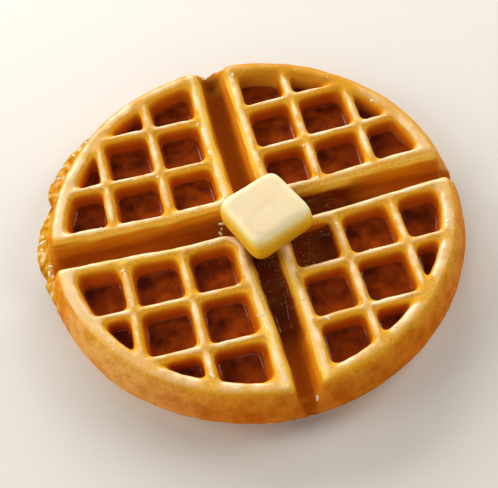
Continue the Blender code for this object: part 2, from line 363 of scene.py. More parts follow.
# %% Crust: the plug in the back channel
BACK_PLUG = 2.6 * MM
PLUG_RADII, PLUG_HALF = (82 * MM, 86.5 * MM), (4 * MM, 8 * MM)
PLUG_HEIGHTS, PLUG_TOP = (8 * MM, 12 * MM), 20 * MM
plug = smoothstep(*PLUG_RADII, radius) * (1 - smoothstep(*PLUG_HALF, np.abs(flat[:, 0])))
plug *= (flat[:, 1] > 0) * smoothstep(*PLUG_HEIGHTS, height) * (height < PLUG_TOP)
places[:, 2] += BACK_PLUG * plug
set_points(crust, places)
print("plug:", int((plug > 0.5).sum()), "points lifted")

# %% [markdown]
# Crust colour is a record of heat and steam: rib tops stay pale and buttery, their pale
# partly a painted highlight, walls turn golden and brown as they go down, and pocket
# floors are darkest. A painted picture would have to be unwrapped over every wall.
# Instead each point keeps a few numbers that the material reads. The first say where it
# is: how far under the rib tops, how far out of its surroundings, and whether in a
# channel, on the outside or on run-out batter.

# %% Crust: where each point is
RIDGE_ROUNDS = 14
GROOVE_REACH, GROOVE_RADII, GROOVE_FOOT = 1.3, (83 * MM, 88 * MM), (1 * MM, 4 * MM)
CHANNEL_EDGE = (CHANNEL_HALF - 1.5 * MM, CHANNEL_HALF)
OUTSIDE_RADII = (RIM_CROWN + 0.5 * MM, RIM_CROWN + 4.0 * MM)
SKIRT_RADII, SKIRT_FROM, SKIRT_TO = (87.0 * MM, 89.5 * MM), (112, 122), (186, 194)

places = points_of(crust)
normals = normals_of(crust)
flat = places[:, :2] - np.array(GRID_MIDDLE.xy)
radius = np.hypot(*flat.T)
angle = np.degrees(np.arctan2(flat[:, 1], flat[:, 0])) % 360
on_top = places[:, 2] > PARTING
under_crown = np.where(on_top, crown_height(radius) - places[:, 2], places[:, 2])
stands_out = ((places - blurred(crust, places, RIDGE_ROUNDS)) * normals).sum(axis=1)
groove = np.clip(GROOVE_REACH - (np.minimum(*np.abs(flat.T)) / notch_half) ** 2, 0, 1)
groove *= smoothstep(*GROOVE_RADII, radius) * smoothstep(*GROOVE_FOOT, places[:, 2])
outside = smoothstep(*OUTSIDE_RADII, radius) * (1 - groove)
skirt = smoothstep(*SKIRT_RADII, radius) * smoothstep(*SKIRT_FROM, angle)
skirt *= 1 - smoothstep(*SKIRT_TO, angle)
across = np.minimum(np.abs(flat[:, 0]), np.abs(flat[:, 1]))
channel = np.maximum(1 - smoothstep(*CHANNEL_EDGE, across), groove)
store(crust, "under_crown", under_crown / MM)
store(crust, "stands_out", stands_out / MM)
store(crust, "outside", outside)
store(crust, "skirt", skirt)
store(crust, "channel", channel)
print("stands out", np.round(np.percentile(stands_out / MM, (1, 25, 50, 75, 99)), 2), "mm")

# %% [markdown]
# An iron doesn't brown a waffle evenly, and butter doesn't spread evenly on it. The far
# right of the rim is toasted, and the gloss on the ribs, with its painted highlight, is
# patchy. The rim's crowns at the left and the right get a painted highlight, and the side
# gets a painted sheen that grows towards the left and a little towards the right. Each
# of these is a soft range of angles round the waffle, or soft noise, kept at each point
# too.

# %% Crust: uneven bake and butter, painted highlight and sheen
RIM_RADII = (75 * MM, 80 * MM)
TOASTED_ANGLE, TOASTED_SPREAD = 62, 30
LEFT_ANGLE, LEFT_SPREAD = 178, 40
RIGHT_ANGLE, RIGHT_SPREAD = 5, 20
FRONT_ANGLE, SHEEN_LEFT, SHEEN_RIGHT = 270, (15, 55), (30, 70)
RUN_OUT_FROM, RUN_OUT_TO = (105, 115), (192, 200)
LEAST_GLAZED, GLAZED_PATCHES = 0.25, (-0.7, 0.4)
on_rim = smoothstep(*RIM_RADII, radius)
toasted = np.exp(-(((angle - TOASTED_ANGLE) / TOASTED_SPREAD) ** 2)) * on_rim
at_left = np.exp(-(((angle - LEFT_ANGLE) / LEFT_SPREAD) ** 2)) * on_rim
off_right = (angle + (180 - RIGHT_ANGLE)) % 360 - 180
at_right = np.exp(-((off_right / RIGHT_SPREAD) ** 2)) * on_rim
# A painted sheen on the side, growing towards the left and a little towards the right.
side_sheen = 0.5 * smoothstep(*SHEEN_LEFT, FRONT_ANGLE - angle)
side_sheen += 0.2 * smoothstep(*SHEEN_RIGHT, angle - FRONT_ANGLE)
ran_out = smoothstep(*RUN_OUT_FROM, angle) * (1 - smoothstep(*RUN_OUT_TO, angle))
glazed = lumps(places, 6 * MM, 14.0) + 0.5 * lumps(places, 2.5 * MM, 15.0)
glazed = LEAST_GLAZED + (1 - LEAST_GLAZED) * smoothstep(*GLAZED_PATCHES, glazed)
glazed *= 1 - 0.8 * toasted
store(crust, "toasted", toasted)
store(crust, "side_sheen", side_sheen * outside * (1 - ran_out))
store(crust, "glazed", glazed)
# Gloss and a painted highlight on the rim's crowns at the left and the right.
store(crust, "creamy", (0.85 * at_left + 0.55 * at_right) * (1 - outside))
print("glazed", np.round(np.percentile(glazed, (5, 50, 95)), 2))

# %% [markdown]
# The two sides of a rib don't look alike, because of how the light falls. The sides that
# are turned to the back and the left face the lights and carry more of the gloss and the
# painted highlight, and the ones that face the front are in shade: they are painted gold
# near the crown and redder below it, as painted shade. So each point also keeps which
# way its skin faces.

# %% Crust: which way it faces
FACING_FRONT = (0.25, 0.65)
GOLDEN_DEPTHS = (1.5 * MM, 0.7 * MM)
FRONT_SHADE_DEPTHS = (1.4 * MM, 2.6 * MM)
faces_front = smoothstep(*FACING_FRONT, -normals[:, 1]) * (1 - outside) * on_top
store(crust, "turned", 0.86 * normals[:, 1] - 0.5 * normals[:, 0])
store(crust, "golden", 0.8 * faces_front * smoothstep(*GOLDEN_DEPTHS, under_crown))
front_shade = faces_front * (1 - channel) * smoothstep(*FRONT_SHADE_DEPTHS, under_crown)
store(crust, "front_shade", front_shade)
print("points that face the front:", int((faces_front > 0.5).sum()))

# %% [markdown]
# Streaks run along a channel's walls, where the batter slid as the iron closed. They are
# the same soft noise, read at places drawn together along the channel, so that each bump
# comes out eleven times as long as it is wide. The channel's left arm is shifted darker
# as painted shade and its right arm lighter as painted light.

# %% Crust: streaks
DRAWN_TOGETHER = 0.09
ARM_SHIFT = 0.5
along_x = np.abs(flat[:, 1]) < np.abs(flat[:, 0])
drawn = places.copy()
drawn[along_x, 0] *= DRAWN_TOGETHER
drawn[~along_x, 1] *= DRAWN_TOGETHER
streak = lumps(drawn, 1.9 * MM, 5.0) + 0.6 * lumps(drawn, 0.9 * MM, 6.0)
streak -= ARM_SHIFT * along_x * np.sign(flat[:, 0])
store(crust, "streak", streak)
print("streaks from", round(float(streak.min()), 1), "to", round(float(streak.max()), 1))

# %% [markdown]
# Syrup was poured over the butter and ran off it, down the front and right channels and
# into the pocket between them. How wet a point is goes from 0 to 1, with a ragged edge
# from noise, because a poured edge follows the crust's pores.

# %% Crust: where syrup ran
RAGGEDNESS = 3.0 * MM
FRONT_REACH, RIGHT_REACH = (-74 * MM, -40 * MM), (26 * MM, 64 * MM)
CHANNEL_FOOT, CHANNEL_WALL = (5.5 * MM, 8.5 * MM), (3.5 * MM, 7.0 * MM)
POCKET_LEFT, POCKET_RIGHT = (12.5 * MM, 14 * MM), (29 * MM, 31 * MM)
POCKET_FRONT, POCKET_BACK = (-31 * MM, -29 * MM), (-13.5 * MM, -12 * MM)
POCKET_WALL = (1.2 * MM, 3.0 * MM)
east, north = flat.T
ragged = RAGGEDNESS * lumps(places, 7 * MM, 9.0)
depth_here = crown_height(radius) - places[:, 2]
in_front = (1 - smoothstep(*CHANNEL_FOOT, np.abs(east))) * (north < 0)
in_front *= smoothstep(*FRONT_REACH, north + ragged)
in_right = (1 - smoothstep(*CHANNEL_FOOT, np.abs(north))) * (east > 0)
in_right *= 1 - smoothstep(*RIGHT_REACH, east + ragged)
in_pocket = smoothstep(*POCKET_LEFT, east) * (1 - smoothstep(*POCKET_RIGHT, east))
in_pocket *= smoothstep(*POCKET_FRONT, north) * (1 - smoothstep(*POCKET_BACK, north))
in_channels = np.maximum(in_front, in_right)
in_channels = in_channels * smoothstep(*CHANNEL_WALL, depth_here + 0.3 * ragged)
wet = np.maximum(in_channels, in_pocket * smoothstep(*POCKET_WALL, depth_here + 0.3 * ragged))
print("wet points:", int((wet > 0.5).sum()))

# %% [markdown]
# The walls beside the butter on the left have no syrup standing in them. It only soaked
# in a little, so they get a part of the wet crust's darkness. The floor and low walls of
# the back channel are darkened by a part of it too.

# %% Crust: where syrup soaked in, and the darker back channel
BACK_SHARE, BACK_FOOT, BACK_WALL = 0.28, (3.5 * MM, 7 * MM), (4.5 * MM, 8.0 * MM)
LEFT_SHARE, LEFT_FOOT, LEFT_WALL = 0.22, (6 * MM, 9.5 * MM), (4.0 * MM, 6.0 * MM)
LEFT_REACH = (-52 * MM, -22 * MM)
at_back = BACK_SHARE * (1 - smoothstep(*BACK_FOOT, np.abs(east))) * (north > 0)
at_back *= smoothstep(*BACK_WALL, depth_here)
by_butter = LEFT_SHARE * (1 - smoothstep(*LEFT_FOOT, np.abs(north))) * (east < 0)
by_butter *= smoothstep(*LEFT_REACH, east + 2 * ragged)
by_butter *= smoothstep(*LEFT_WALL, depth_here + 0.2 * ragged)
soaked = np.maximum.reduce([wet, at_back, by_butter]) * on_top
store(crust, "soaked", soaked)
print("soaked points:", int((soaked > 0.1).sum()))

# %% [markdown]
# No rib is straight and no face is flat: the skin swells and sinks by a few tenths of a
# millimetre, and where batter ran out of the iron it set in crags. The moves are along
# the normals, so walls bulge sideways and ribs upwards. A rib's shoulders sink a little
# more, which leaves its crown round instead of flat.

# %% Crust: relief
SHOULDER_SINK = 0.55 * MM
SHOULDER_RANGE, CROWN_RANGE = (0.12 * MM, 0.42 * MM), (0.6 * MM, 2.4 * MM)
swell = 0.30 * MM * lumps(places, 11 * MM, 1.0) + 0.16 * MM * lumps(places, 4.2 * MM, 2.0)
crags = 0.45 * MM * lumps(places, 3.6 * MM, 3.0) + 0.15 * MM * lumps(places, 1.9 * MM, 4.0)
places += normals * (swell + skirt * crags)[:, None]
shoulder = (1 - smoothstep(*SHOULDER_RANGE, stands_out)) * on_top
near_crown = 1 - smoothstep(*CROWN_RANGE, under_crown)
places[:, 2] -= SHOULDER_SINK * shoulder * near_crown
set_points(crust, keep_inside(places, "waffle"))
select_only(crust)
bpy.ops.object.shade_smooth()
crust.data.calc_loop_triangles()
print("crust:", len(crust.data.loop_triangles), "triangles")

# %% [markdown]
# The finish is baked batter: flour and egg set to a matt, slightly open skin, with a
# buttery gloss on the rib tops. Its colour could be one flat brown with a picture over it;
# a material that reads each point's numbers keeps every brown where the heat put it.
# Colours are picked as hex values, the way a paint program shows them, and Blender works
# in linear light, so one function turns them. One more adds a shader node with its
# settings and links, which keeps each material short.

# %% Helpers: materials


def linear(hex_colour):
    """An sRGB hex colour as linear red, green, blue and alpha."""
    parts = [int(hex_colour[i : i + 2], 16) / 255 for i in (1, 3, 5)]
    return (*[c / 12.92 if c <= 0.04045 else ((c + 0.055) / 1.055) ** 2.4 for c in parts], 1.0)


def fill(owner, made, inputs):
    """Fills a node's inputs: a socket is linked, a hex colour or another value is set."""
    for key, value in inputs.items():
        if isinstance(value, bpy.types.NodeSocket):
            owner.node_tree.links.new(value, made.inputs[key])
        else:
            made.inputs[key].default_value = linear(value) if isinstance(value, str) else value


def node(material, kind, inputs, output=0, stops=(), **settings):
    """Adds a shader node with its settings, inputs and ramp stops, and gives one output."""
    made = material.node_tree.nodes.new(kind)
    for key, value in settings.items():
        setattr(made, key, value)
    fill(material, made, inputs)
    if stops:
        elements = made.color_ramp.elements
        elements.remove(elements[-1])
        elements[0].position, elements[0].color = stops[0][0], linear(stops[0][1])
        for at, colour in stops[1:]:
            elements.new(at).color = linear(colour)
    return made.outputs[output]


def new_material(name):
    """An empty material, and its shader and the object coordinates that patterns use."""
    material = bpy.data.materials.new(name)
    material.use_nodes = True
    shader = material.node_tree.nodes["Principled BSDF"]
    return material, shader, node(material, "ShaderNodeTexCoord", {}, "Object")


# %% [markdown]
# The material starts by fetching the kept numbers and four sizes of noise. The bake is
# mottled over about 15 mm, the side is freckled over 6.5 mm and blotched over 4 mm, and
# the grain of the dough is about 1.2 mm, drawn a little coarse so that it shows.

# %% Crust: what the material reads
KEPT_NUMBERS = (
    "under_crown", "stands_out", "outside", "skirt", "channel", "streak", "toasted",
    "soaked", "side_sheen", "glazed", "creamy", "turned", "golden", "front_shade",
)
PATTERNS = {
    "mottle": (15 * MM, 3.0),
    "grain": (1.2 * MM, 1.0),
    "blotch": (4.0 * MM, 3.0),
    "freckle": (6.5 * MM, 4.0),
}
baked, shader, place = new_material("baked_waffle_batter")
known = {
    name: node(baked, "ShaderNodeAttribute", {}, "Fac", attribute_name=name)
    for name in KEPT_NUMBERS
}
pattern = {
    name: node(
        baked, "ShaderNodeTexNoise", {"Vector": place, "Scale": 1 / size, "Detail": detail}
    )
    for name, (size, detail) in PATTERNS.items()
}
print("the crust reads", len(known), "numbers and", len(pattern), "patterns")

# %% [markdown]
# In a pocket the colour goes from the pale gold of the crown, over amber walls, to a
# brown floor, 10 mm down. A ramp holds those colours. The depth that picks from it is
# moved up and down by mottle and grain, so that no colour ends in a level line.

# %% Crust: colour in the pockets
PALE_TO_DARK = 10.0
POCKET_COLOURS = (
    (0.0, "#daa544"), (0.06, "#e3ad34"), (0.12, "#e9af20"), (0.20, "#e4a11e"),
    (0.28, "#d98816"), (0.40, "#cb6f12"), (0.54, "#bd5a0e"), (0.75, "#b4560e"),
    (0.92, "#7e360a"),
)


def moved_by(material, first, *terms):
    """A socket plus each (socket, factor, shift) term."""
    total = first
    for socket, factor, shift in terms:
        inputs = {0: socket, 1: factor, 2: shift}
        scaled = node(material, "ShaderNodeMath", inputs, operation="MULTIPLY_ADD")
        total = node(material, "ShaderNodeMath", {0: total, 1: scaled})
    return total


plain_depth = moved_by(baked, known["under_crown"], (pattern["mottle"], 1.6, -0.8))
finer_terms = (pattern["mottle"], 0.8, -0.4), (pattern["grain"], 1.2, -0.6)
depth = moved_by(baked, plain_depth, *finer_terms)
share = node(baked, "ShaderNodeMath", {0: depth, 1: PALE_TO_DARK}, operation="DIVIDE")
pocket_colour = node(
    baked, "ShaderNodeValToRGB", {"Fac": share}, "Color", stops=POCKET_COLOURS
)
print("pockets:", len(POCKET_COLOURS), "colours over", PALE_TO_DARK, "mm")

# %% [markdown]
# A channel is open at its end, so its steam got away: it is paler than a pocket and
# yellow to far down its walls. It has a ramp of its own, and the streaks shift the depth
# that picks from it, which draws light and dark lines along the walls.

# %% Crust: colour in the channels
STREAK_DEPTH = 1.7
CHANNEL_COLOURS = (
    (0.0, "#f0cf88"), (0.07, "#fbd970"), (0.20, "#f8cc4c"), (0.37, "#d98f1a"),
    (0.48, "#cd7f18"), (0.60, "#cb7214"), (0.74, "#c36c10"), (0.86, "#b25f10"),
    (0.95, "#ac5410"),
)
streaky = moved_by(baked, depth, (known["streak"], STREAK_DEPTH, 0.0))
share = node(baked, "ShaderNodeMath", {0: streaky, 1: PALE_TO_DARK}, operation="DIVIDE")
channel_colour = node(
    baked, "ShaderNodeValToRGB", {"Fac": share}, "Color", stops=CHANNEL_COLOURS
)
print("channels:", len(CHANNEL_COLOURS), "colours, moved", STREAK_DEPTH, "mm by streaks")

# %% [markdown]
# The side touched hot air instead of iron. It is gold near both faces and deeper towards
# the line where the halves met, and blotches break up those bands. Freckles are laid on
# it by multiplying, which only ever darkens, so they can't bleach the crust.

# %% Crust: colour of the side
SIDE_HEIGHT = 24.0
SIDE_COLOURS = (
    (0.0, "#e6a03a"), (0.12, "#e09026"), (0.28, "#db8524"), (0.50, "#d4761e"),
    (0.72, "#df8e2c"), (0.84, "#ecaa4a"), (0.93, "#9a5414"),
)
FRECKLES = ((0.34, "#ecd8ba"), (0.56, "#ffffff"))
blotchy = moved_by(baked, plain_depth, (pattern["blotch"], 9.0, -4.5))
share = node(baked, "ShaderNodeMath", {0: blotchy, 1: SIDE_HEIGHT}, operation="DIVIDE")
side_colour = node(baked, "ShaderNodeValToRGB", {"Fac": share}, "Color", stops=SIDE_COLOURS)
freckles = node(
    baked, "ShaderNodeValToRGB", {"Fac": pattern["freckle"]}, "Color", stops=FRECKLES
)
print("side:", len(SIDE_COLOURS), "colours over", SIDE_HEIGHT, "mm")

# %% [markdown]
# Melted butter glazes the crowns, and the lights glance off them. The share sits where
# the skin stands out of its surroundings and is near the top, and more on what turns to
# the lights at the back and the left. It also takes the rim's crowns at the left and the
# right. The same share sets the gloss and a pale colour, which is partly the butter and
# partly a painted highlight, so that the two can't drift apart.

# %% Crust: where butter glazes it and a highlight is painted
GLAZE_AND_HIGHLIGHT_RIDGE = {1: 0.24, 2: 0.38}
GLAZE_AND_HIGHLIGHT_DEPTH = {1: 0.2, 2: 1.0, 3: 1.0, 4: 0.0}
lit_ridge = moved_by(baked, known["stands_out"], (known["turned"], 0.12, 0.0))
ridge = node(baked, "ShaderNodeMapRange", {"Value": lit_ridge, **GLAZE_AND_HIGHLIGHT_RIDGE})
lit_depth = moved_by(baked, plain_depth, (known["turned"], -0.9, 0.0))
near_top = node(baked, "ShaderNodeMapRange", {"Value": lit_depth, **GLAZE_AND_HIGHLIGHT_DEPTH})
pale = node(baked, "ShaderNodeMath", {0: ridge, 1: near_top}, operation="MULTIPLY")
ridge_glaze_and_highlight = node(baked, "ShaderNodeMath", {0: pale, 1: known["glazed"]}, operation="MULTIPLY")
rim_gloss_and_highlight = node(baked, "ShaderNodeMath", {0: near_top, 1: known["creamy"]}, operation="MULTIPLY")
gloss_and_painted_highlight = node(baked, "ShaderNodeMath", {0: ridge_glaze_and_highlight, 1: rim_gloss_and_highlight}, operation="MAXIMUM")
print("glaze begins", GLAZE_AND_HIGHLIGHT_DEPTH[2], "mm under the crown")

# %% [markdown]
# The whole colour is built layer over layer: the bake, the gold and red of the walls that
# face the front as painted shade, the side with its painted sheen and its freckles, the
# grain, the butter's pale with its painted highlight, the toasted edge, the craggy run-out
# batter, and last the dark of the syrup where it soaked in, and a little of it in the
# back channel. Each layer has a share, a colour and whether it covers what is under it
# or only tints it.

# %% Crust: layer over layer
GRAIN = ((0.30, "#f6e9cf"), (0.58, "#ffffff"))
RUN_OUT = ((0.34, "#ac6a12"), (0.47, "#ca8a1c"), (0.58, "#d9a038"), (0.70, "#efcfa0"))


def laid_over(material, colour, layers):
    """A colour with (share, colour, way to mix) layers over it, the last one on top."""
    for share, over, way in layers:
        inputs = {"Factor": share, 6: colour, 7: over}
        colour = node(
            material, "ShaderNodeMix", inputs, 2, data_type="RGBA", blend_type=way
        )
    return colour


speckle = node(baked, "ShaderNodeValToRGB", {"Fac": pattern["grain"]}, "Color", stops=GRAIN)
run_out = node(baked, "ShaderNodeValToRGB", {"Fac": pattern["blotch"]}, "Color", stops=RUN_OUT)
soak = node(baked, "ShaderNodeMapRange", {"Value": known["soaked"], 1: 0.0, 2: 0.6})
# The side's painted sheen, then its freckles.
side_layers = ((known["side_sheen"], "#f2c778", "MIX"), (1.0, freckles, "MULTIPLY"))
side_colour = laid_over(baked, side_colour, side_layers)
crust_layers = (
    (known["channel"], channel_colour, "MIX"),
    # Painted shade: walls that face the front, gold near the crown and redder below it.
    (known["golden"], "#fdc03a", "MIX"),
    (known["front_shade"], "#f7e3ff", "MULTIPLY"),
    (known["outside"], side_colour, "MIX"),
    (1.0, speckle, "MULTIPLY"),
    # The pale of the butter glaze, partly a painted highlight.
    (gloss_and_painted_highlight, "#fadbaa", "MIX"),
    (known["toasted"], "#cf8f24", "MIX"),
    (known["skirt"], run_out, "MIX"),
    (soak, "#6a2806", "MIX"),
)
crust_colour = laid_over(baked, pocket_colour, crust_layers)
print("layers:", len(side_layers), "on the side and", len(crust_layers), "over all")

# %% [markdown]
# Dough itself hardly shines, so its own reflection is off and the coat on top stands for
# the butter. A little light goes into the crumb and comes back redder, which keeps the
# shadows warm. The grain dents the dough and the mottle the coat, each by a fraction of
# a millimetre, too fine to be worth moving points for.

# %% Crust: gloss and grain
bump = {"Height": pattern["grain"], "Strength": 0.15, "Distance": 0.3 * MM}
gentle = {"Height": pattern["mottle"], "Strength": 0.3, "Distance": 1.0 * MM}
finish = {
    "Base Color": crust_colour,
    "Normal": node(baked, "ShaderNodeBump", bump),
    "Roughness": 0.5,
    "Specular IOR Level": 0.0,
    "Subsurface Weight": 0.12,
    "Subsurface Radius": (1.0, 0.45, 0.15),
    "Subsurface Scale": 1.5 * MM,
    "Coat Weight": gloss_and_painted_highlight,
    "Coat Normal": node(baked, "ShaderNodeBump", gentle),
    "Coat Roughness": 0.2,
    "Coat IOR": 1.7,
}
fill(baked, shader, finish)
crust.data.materials.append(baked)
hand_over(crust, "baked_batter", "waffle")
print("crust material:", len(baked.node_tree.nodes), "nodes")

# %% [markdown]
# ## Butter
#
# The pat was cut cold and square, and the waffle's heat has rounded it. A bevel would
# round its edges but leave its faces flat. So its copy gets an even skin too, smoothed
# until no edge is left, and two sizes of noise wave its faces as softening does.

# %% Butter: the pat
BUTTER_VOXEL = 0.6 * MM
WAVE, RIPPLE = 0.35 * MM, 0.10 * MM
butter = copy_of_node("butter", "butter_pat")
apply_modifier(butter, "REMESH", mode="VOXEL", voxel_size=BUTTER_VOXEL, adaptivity=0.0)
apply_modifier(butter, "SMOOTH", factor=0.5, iterations=8)
butter_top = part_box("butter")[1][2]
places = points_of(butter)
normals = normals_of(butter)
store(butter, "below_top", (butter_top - places[:, 2]) / MM)
places += normals * (WAVE * lumps(places, 10 * MM, 7.0))[:, None]
places += normals * (RIPPLE * lumps(places, 3 * MM, 8.0))[:, None]
set_points(butter, keep_inside(places, "butter"))
select_only(butter)
bpy.ops.object.shade_smooth()
print("butter:", len(butter.data.polygons), "faces")

# %% [markdown]
# Butter is fat with fine drops of water in it. Light goes a few millimetres in and comes
# out yellower, so the top looks cream and the side, lit through the pat, deep yellow.
# Light inside the pat softens it, but can't alone make the side that yellow, so a ramp
# of colours over the pat's height paints it in: lightest just under the top's edge, as
# painted light, and deeper and darker yellow down the side, as painted shade.

# %% Butter: material
BUTTER_HEIGHT = 14.0
BUTTER_COLOURS = (
    (0.01, "#ecdab2"), (0.06, "#fff2cc"), (0.13, "#fff0b4"), (0.24, "#fbdc78"),
    (0.45, "#f2c41c"), (0.95, "#e2a00a"),
)
butter_fat, shader, place = new_material("soft_butter_fat")
below = node(butter_fat, "ShaderNodeAttribute", {}, "Fac", attribute_name="below_top")
ripple = node(
    butter_fat, "ShaderNodeTexNoise", {"Vector": place, "Scale": 1 / (6 * MM), "Detail": 2.0}
)
below = moved_by(butter_fat, below, (ripple, 0.8, -0.4))
share = node(butter_fat, "ShaderNodeMath", {0: below, 1: BUTTER_HEIGHT}, operation="DIVIDE")
finish = {
    "Base Color": node(
        butter_fat, "ShaderNodeValToRGB", {"Fac": share}, "Color", stops=BUTTER_COLOURS
    ),
    "Roughness": 0.45,
    "Specular IOR Level": 0.35,
    "Subsurface Weight": 0.7,
    "Subsurface Radius": (1.0, 0.8, 0.35),
    "Subsurface Scale": 3.5 * MM,
}
fill(butter_fat, shader, finish)
butter.data.materials.append(butter_fat)
hand_over(butter, "soft_butter", "butter")
print("butter:", len(BUTTER_COLOURS), "colours over", BUTTER_HEIGHT, "mm")

# %% [markdown]
# ## Syrup
#
# Syrup is boiled sap: clear, amber in a thin layer and nearly black in a deep one. Glass
# with a brown inside would show that too, but slowly and with noise, and the pools are
# only 2 mm deep. An opaque, very smooth skin whose colour follows how deep the syrup is
# looks the same: amber at the edge, dark in the middle, clouded as by crumbs. Each pool
# is also painted a little lighter towards the right and the front, as painted light and
# shade.

# %% Syrup: material
DEEP_COLOURS = ((0.28, "#501902"), (0.50, "#823204"), (0.72, "#a24608"))
maple, shader, place = new_material("maple_syrup")
shallow, lit, running = (
    node(maple, "ShaderNodeAttribute", {}, "Fac", attribute_name=name)
    for name in ("shallow", "lit", "running")
)
cloud = node(
    maple, "ShaderNodeTexNoise", {"Vector": place, "Scale": 1 / (7 * MM), "Detail": 5.0}
)
lit_cloud = moved_by(maple, cloud, (lit, 0.4, -0.2))
deep_colour = node(
    maple, "ShaderNodeValToRGB", {"Fac": lit_cloud}, "Color", stops=DEEP_COLOURS
)
syrup_layers = ((shallow, "#8f3b05", "MIX"), (running, "#5e2307", "MIX"))
finish = {
    "Base Color": laid_over(maple, deep_colour, syrup_layers),
    "Roughness": 0.10,
    "IOR": 1.49,
    "Specular IOR Level": 0.25,
}
fill(maple, shader, finish)
print("syrup:", len(DEEP_COLOURS), "deep colours and", len(syrup_layers), "layers")

# %% [markdown]
# Syrup wets the crust, so a pool's edge climbs the pocket's wall and its surface is a
# shallow dish that catches the light along one side. A flat sheet would be a mirror with
# a hard edge. Each pool is its solid, made wider so that it reaches into the rounded
# walls, with its top lifted and then inset and lowered three times to make the dish.

# %% Syrup: the pools
WALL_REACH = 1.5 * MM
EDGE_CLIMB = 0.55 * MM
DISH_STEPS = ((0.45 * MM, 0.55 * MM), (0.6 * MM, 0.25 * MM), (1.0 * MM, 0.10 * MM))
SHALLOW_FROM, SHALLOW_OVER = 0.35 * MM, 0.7 * MM
POURED_INTO = "syrup_q4_c1_r1"


def make_pool(node_name):
    """One pocket's pool, which reaches into the walls and is dished at its top."""
    pool = copy_of_node(node_name, node_name.replace("syrup", "pool"))
    low, high = (Vector(corner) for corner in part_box(node_name))
    size = high - low
    bpy.ops.object.mode_set(mode="EDIT")
    bpy.ops.mesh.select_all(action="SELECT")
    wider = (1 + WALL_REACH / size.x, 1 + WALL_REACH / size.y, 1.0)
    bpy.ops.transform.resize(value=wider, center_override=(low + high) / 2)
    bpy.ops.mesh.select_all(action="DESELECT")
    bpy.ops.object.mode_set(mode="OBJECT")
    for face in pool.data.polygons:
        face.select = face.normal.z > 0.9 and face.center.z > high.z - 0.5 * MM
    bpy.ops.object.mode_set(mode="EDIT")
    bpy.ops.transform.translate(value=(0, 0, EDGE_CLIMB))
    for inwards, down in DISH_STEPS:
        bpy.ops.mesh.inset(thickness=inwards, use_boundary=True)
        bpy.ops.transform.translate(value=(0, 0, -down))
    bpy.ops.object.mode_set(mode="OBJECT")
    lift = points_of(pool)[:, 2] - (high.z - SHALLOW_FROM)
    store(pool, "shallow", smoothstep(0.0, SHALLOW_OVER, lift))
    # Painted light and shade: each pool is lighter towards the right and the front.
    rightwards, backwards = ((points_of(pool) - np.array(low)) / np.array(size)).T[:2]
    store(pool, "lit", (rightwards + 1 - backwards) / 2)
    store(pool, "running", np.full(len(lift), 0.75 if node_name == POURED_INTO else 0.0))
    pool.data.materials.append(maple)
    bpy.ops.object.shade_smooth_by_angle(angle=math.radians(60))
    hand_over(pool, "maple_syrup", node_name)
    return pool


pool_nodes = [name for name in sorted(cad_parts) if name.startswith("syrup")]
pools = {name: make_pool(name) for name in pool_nodes}
print("pools:", len(pools))

# %% [markdown]
# The syrup that ran down the channels is a film over the crust there. A fluid simulation
# could pour it, but the film has to fit this skin closely, so it starts as a copy of the
# crust, and everything drier than a set value is deleted from it.

# %% Syrup: the film in the channels
WET_EDGE = 0.45
film = copy_of(crust, "syrup_film")
store(film, "wet", wet)
store(film, "shallow", np.ones(len(wet)))
store(film, "running", smoothstep(WET_EDGE, 0.9, wet))
film.data.vertices.foreach_set("select", wet < WET_EDGE)
film.data.edges.foreach_set("select", np.zeros(len(film.data.edges), bool))
film.data.polygons.foreach_set("select", np.zeros(len(film.data.polygons), bool))
bpy.ops.object.mode_set(mode="EDIT")
bpy.ops.mesh.select_mode(type="VERT")
bpy.ops.mesh.delete(type="VERT")
bpy.ops.object.mode_set(mode="OBJECT")
print("film:", len(film.data.vertices), "points of the crust are wet")

# %% [markdown]
# The film stands highest where it is wettest, and goes under the crust towards its edge,
# which leaves no step there. At the bottom it is filled up to a level that drops towards
# its end. The two meet in a rounded fillet, as a liquid's surface does, instead of a hard
# line. Solidify then gives it an inner side, so that it is closed.

# %% Syrup: the film's surface
WET_FADE = 0.75
FILM_THICKNESS, FILM_DEPTH = 0.45 * MM, 0.4 * MM
FILM_LEVEL, LEVEL_DROP = 13.5 * MM, 6.0 * MM
FILM_ROUNDING = 0.8 * MM
wet_left = np.empty(len(film.data.vertices), np.float32)
film.data.attributes["wet"].data.foreach_get("value", wet_left)
places = points_of(film)
thickness = FILM_THICKNESS * (wet_left - WET_FADE) / WET_EDGE
places += normals_of(film) * thickness[:, None]
level = FILM_LEVEL - LEVEL_DROP * (1 - wet_left)
above = places[:, 2] - level
places[:, 2] = level + (above + np.hypot(above, FILM_ROUNDING)) / 2
set_points(film, places)
apply_modifier(film, "SOLIDIFY", thickness=FILM_DEPTH, offset=-1.0)
film.data.materials.append(maple)
bpy.ops.object.shade_smooth()
hand_over(film, "maple_syrup")
print("film:", len(film.data.polygons), "faces")

# %% [markdown]
# ## Beads and froth
#
# Melted butter is clear fat with a high gloss: a bead of it is a dot with one bright
# glint. These beads are coloured pale cream, as a painted glint, so that each shows as a
# bright spot. A bead is so small that a little noise in its colour is all the variety
# that shows.

# %% Beads: material
BEAD_GLINT_COLOURS = ((0.35, "#f2d9a0"), (0.65, "#fff2d6"))
glint_bead_material, shader, place = new_material("butter_beads_painted_glint")
creamy = node(
    glint_bead_material, "ShaderNodeTexNoise", {"Vector": place, "Scale": 1 / (2 * MM), "Detail": 2.0}
)
finish = {
    "Base Color": node(
        glint_bead_material, "ShaderNodeValToRGB", {"Fac": creamy}, "Color", stops=BEAD_GLINT_COLOURS
    ),
    "Roughness": 0.15,
    "IOR": 1.46,
    "Specular IOR Level": 0.9,
    "Subsurface Weight": 0.2,
    "Subsurface Scale": 1.0 * MM,
}
fill(glint_bead_material, shader, finish)
print("beads:", glint_bead_material.name)

